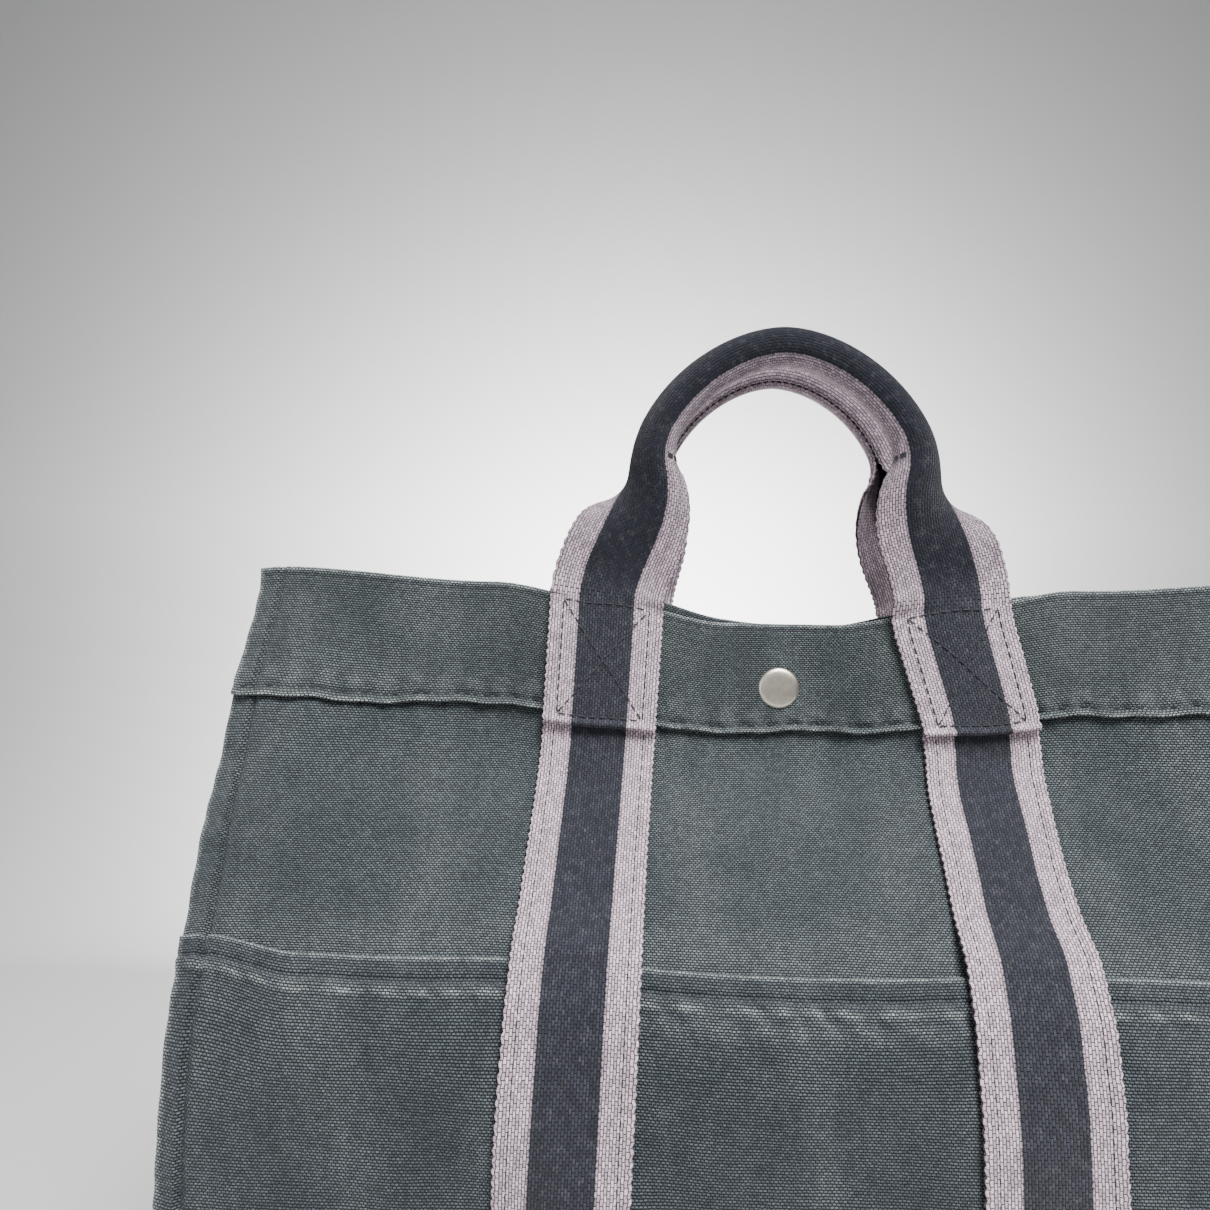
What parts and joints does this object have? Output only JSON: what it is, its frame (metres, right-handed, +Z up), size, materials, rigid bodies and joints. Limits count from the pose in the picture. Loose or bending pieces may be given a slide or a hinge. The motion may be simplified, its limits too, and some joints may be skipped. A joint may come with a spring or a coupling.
{
  "type": "canvas tote bag",
  "caption": "Boxy canvas tote bag with pinched snap mouth, divided patch pockets, striped webbing straps and padded handles that fold down.",
  "frame": {"origin": "centre of the bag's footprint, on the plane that the two base straps rest on", "axes": "+Z up, the front with the snap cap faces -Y, +X to the right seen from the front"},
  "size_m": [0.392, 0.1398, 0.4334],
  "materials": {
    "canvas": "washed plain-weave cotton canvas, matt, worn lighter on its edges",
    "webbing": "woven cotton webbing with a navy-black middle stripe between two mauve-grey ones",
    "core": "cotton rope filling inside the handle",
    "nickel": "satin nickel plate, warm grey"
  },
  "bodies": {
    "shell": {"front_panel_lower": "canvas", "front_pocket": "canvas", "front_seam_left_lower": "canvas", "front_strap_left_lower": "webbing", "front_seam_right_lower": "canvas", "front_strap_right_lower": "webbing", "back_panel_lower": "canvas", "back_pocket": "canvas", "back_seam_left_lower": "canvas", "back_strap_left_lower": "webbing", "back_seam_right_lower": "canvas", "back_strap_right_lower": "webbing", "left_gusset_lower": "canvas", "left_gusset_front_fold": "canvas", "left_gusset_back_fold": "canvas", "left_gusset_front_band": "canvas", "left_gusset_back_band": "canvas", "base_strap_left": "webbing", "right_gusset_lower": "canvas", "right_gusset_front_fold": "canvas", "right_gusset_back_fold": "canvas", "right_gusset_front_band": "canvas", "right_gusset_back_band": "canvas", "base_strap_right": "webbing", "base_panel": "canvas"},
    "front_wall": {"front_panel_upper": "canvas", "front_pocket_hem": "canvas", "front_band": "canvas", "front_seam_left_upper": "canvas", "front_strap_left_upper": "webbing", "front_handle_tab_left": "webbing", "front_seam_right_upper": "canvas", "front_strap_right_upper": "webbing", "front_handle_tab_right": "webbing", "snap_cap": "nickel", "snap_socket": "nickel"},
    "back_wall": {"back_panel_upper": "canvas", "back_pocket_hem": "canvas", "back_band": "canvas", "back_seam_left_upper": "canvas", "back_strap_left_upper": "webbing", "back_handle_tab_left": "webbing", "back_seam_right_upper": "canvas", "back_strap_right_upper": "webbing", "back_handle_tab_right": "webbing", "snap_stud": "nickel", "snap_post_cap": "nickel"},
    "front_grip": {"front_handle": "webbing", "front_handle_core": "core"},
    "rear_grip": {"rear_handle": "webbing", "rear_handle_core": "core"}
  },
  "joints": [
    {"name": "front_wall_opening", "type": "hinge", "parent": "shell", "child": "front_wall", "pos_m": [0, -0.066, 0.196], "axis": [1, 0, 0], "range_deg": [0, 20]},
    {"name": "back_wall_opening", "type": "hinge", "parent": "shell", "child": "back_wall", "pos_m": [0, 0.066, 0.196], "axis": [-1, 0, 0], "range_deg": [0, 20]},
    {"name": "front_handle_fold", "type": "hinge", "parent": "front_wall", "child": "front_grip", "pos_m": [0, -0.0193, 0.32816], "axis": [1, 0, 0], "range_deg": [0, 150]},
    {"name": "rear_handle_fold", "type": "hinge", "parent": "back_wall", "child": "rear_grip", "pos_m": [0, 0.0193, 0.32816], "axis": [-1, 0, 0], "range_deg": [0, 150]}
  ]
}
